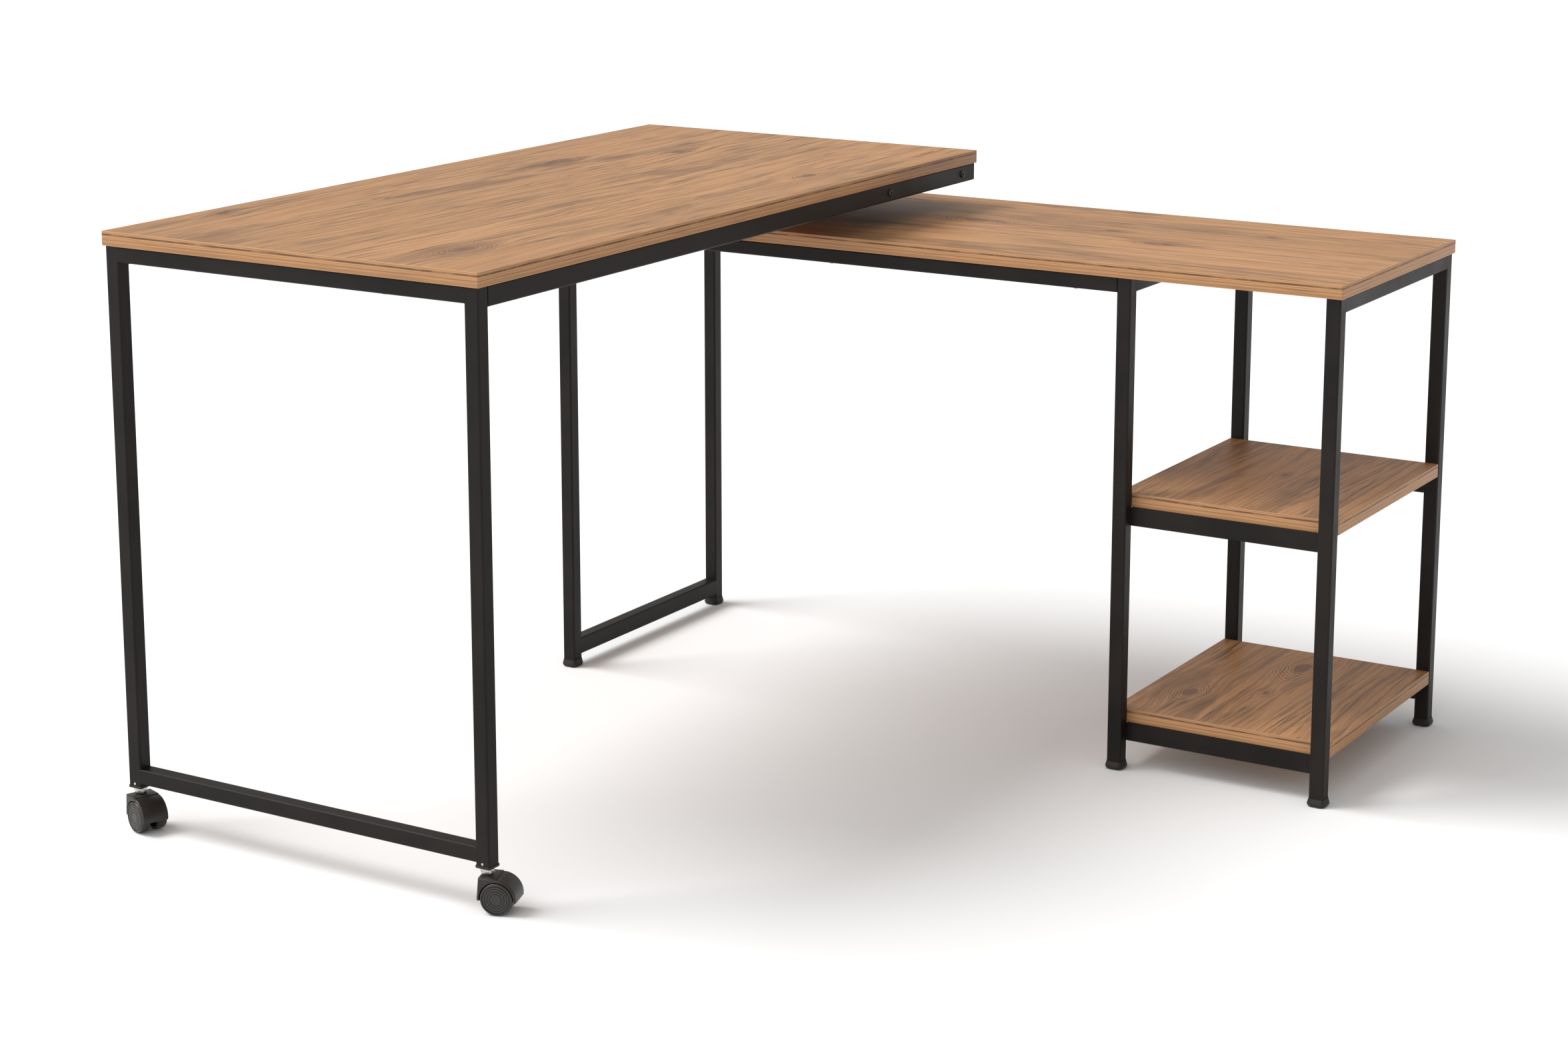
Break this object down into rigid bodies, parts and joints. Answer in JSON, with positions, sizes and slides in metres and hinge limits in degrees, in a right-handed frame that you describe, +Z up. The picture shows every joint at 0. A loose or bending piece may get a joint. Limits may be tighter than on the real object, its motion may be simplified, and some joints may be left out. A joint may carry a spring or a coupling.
{
  "type": "corner desk",
  "caption": "L-shaped corner desk: a rolling desk on caster legs that swings about a hidden pivot over a fixed desk with an open shelf tower.",
  "frame": {"origin": "middle of the desk's plan at rest, on the floor", "axes": "+X along the fixed desk towards its shelf tower, +Y along the swing desk from its caster legs towards the pivot, +Z up"},
  "size_m": [1.2709, 1.2783, 0.765],
  "materials": {
    "laminate": "matt melamine laminate with a rustic brown board grain",
    "edge_band": "matt melamine edge band with grain along the edge",
    "powder_coat": "satin black powder coat with a fine texture",
    "black_plastic": "satin moulded plastic",
    "caster_plastic": "satin moulded plastic with polished edges",
    "caster_nylon": "satin nylon with shallow turned rings",
    "bearing_nylon": "natural nylon",
    "zinc_steel": "bright zinc plate"
  },
  "bodies": {
    "fixed_desk": {"bottom_shelf": "laminate", "bottom_shelf_support_back": "powder_coat", "bottom_shelf_support_front": "powder_coat", "feet": "black_plastic", "fixed_frame_bolts": "zinc_steel", "fixed_left_bottom_rail": "powder_coat", "fixed_left_top_rail": "powder_coat", "fixed_leg_left_back": "powder_coat", "fixed_leg_left_front": "powder_coat", "fixed_rail_back": "powder_coat", "fixed_rail_end_plates": "powder_coat", "fixed_rail_front": "powder_coat", "fixed_top": "laminate", "fixed_top_edging": "edge_band", "fixed_wood_screws": "zinc_steel", "middle_shelf": "laminate", "middle_shelf_support_back": "powder_coat", "middle_shelf_support_front": "powder_coat", "pivot_base_plate": "powder_coat", "pivot_base_screws": "zinc_steel", "pivot_lock_nut": "zinc_steel", "pivot_post": "zinc_steel", "pivot_thrust_washer": "bearing_nylon", "shelf_edging": "edge_band", "tower_leg_inner_back": "powder_coat", "tower_leg_inner_front": "powder_coat", "tower_leg_outer_back": "powder_coat", "tower_leg_outer_front": "powder_coat", "tower_top_rail_inner": "powder_coat", "tower_top_rail_outer": "powder_coat"},
    "swing_desk": {"left_caster_stem": "zinc_steel", "pivot_bush": "bearing_nylon", "pivot_plate_bolts": "zinc_steel", "pivot_swing_plate": "powder_coat", "right_caster_stem": "zinc_steel", "swing_cross_rail_bolts": "zinc_steel", "swing_cross_rail_far": "powder_coat", "swing_cross_rail_near": "powder_coat", "swing_frame_bolts": "zinc_steel", "swing_frame_bottom_rail": "powder_coat", "swing_frame_top_rail": "powder_coat", "swing_leg_left": "powder_coat", "swing_leg_plugs": "black_plastic", "swing_leg_right": "powder_coat", "swing_plug_rivets": "zinc_steel", "swing_rail_end_caps": "black_plastic", "swing_rail_end_plates": "powder_coat", "swing_rail_left": "powder_coat", "swing_rail_right": "powder_coat", "swing_top": "laminate", "swing_top_edging": "edge_band", "swing_top_screws": "zinc_steel"},
    "left_caster": {"left_caster_hood": "caster_plastic", "left_caster_axle": "zinc_steel"},
    "right_caster": {"right_caster_hood": "caster_plastic", "right_caster_axle": "zinc_steel"},
    "left_wheel_front": {"left_caster_wheel_front": "caster_nylon"},
    "left_wheel_back": {"left_caster_wheel_back": "caster_nylon"},
    "right_wheel_front": {"right_caster_wheel_front": "caster_nylon"},
    "right_wheel_back": {"right_caster_wheel_back": "caster_nylon"}
  },
  "joints": [
    {"name": "desk_swing", "type": "hinge", "parent": "fixed_desk", "child": "swing_desk", "pos_m": [-0.35, 0.43189, 0.718], "axis": [0, 0, 1], "continuous": true},
    {"name": "left_caster_swivel", "type": "hinge", "parent": "swing_desk", "child": "left_caster", "pos_m": [-0.622, -0.60961, 0.0465], "axis": [0, 0, 1], "continuous": true},
    {"name": "left_wheel_front_roll", "type": "hinge", "parent": "left_caster", "child": "left_wheel_front", "pos_m": [-0.60791, -0.61474, 0.02], "axis": [0.342, 0.9397, 0], "continuous": true},
    {"name": "left_wheel_back_roll", "type": "hinge", "parent": "left_caster", "child": "left_wheel_back", "pos_m": [-0.60791, -0.61474, 0.02], "axis": [0.342, 0.9397, 0], "continuous": true},
    {"name": "right_caster_swivel", "type": "hinge", "parent": "swing_desk", "child": "right_caster", "pos_m": [-0.078, -0.60961, 0.0465], "axis": [0, 0, 1], "continuous": true},
    {"name": "right_wheel_front_roll", "type": "hinge", "parent": "right_caster", "child": "right_wheel_front", "pos_m": [-0.06382, -0.60472, 0.02], "axis": [-0.3256, 0.9455, 0], "continuous": true},
    {"name": "right_wheel_back_roll", "type": "hinge", "parent": "right_caster", "child": "right_wheel_back", "pos_m": [-0.06382, -0.60472, 0.02], "axis": [-0.3256, 0.9455, 0], "continuous": true}
  ]
}
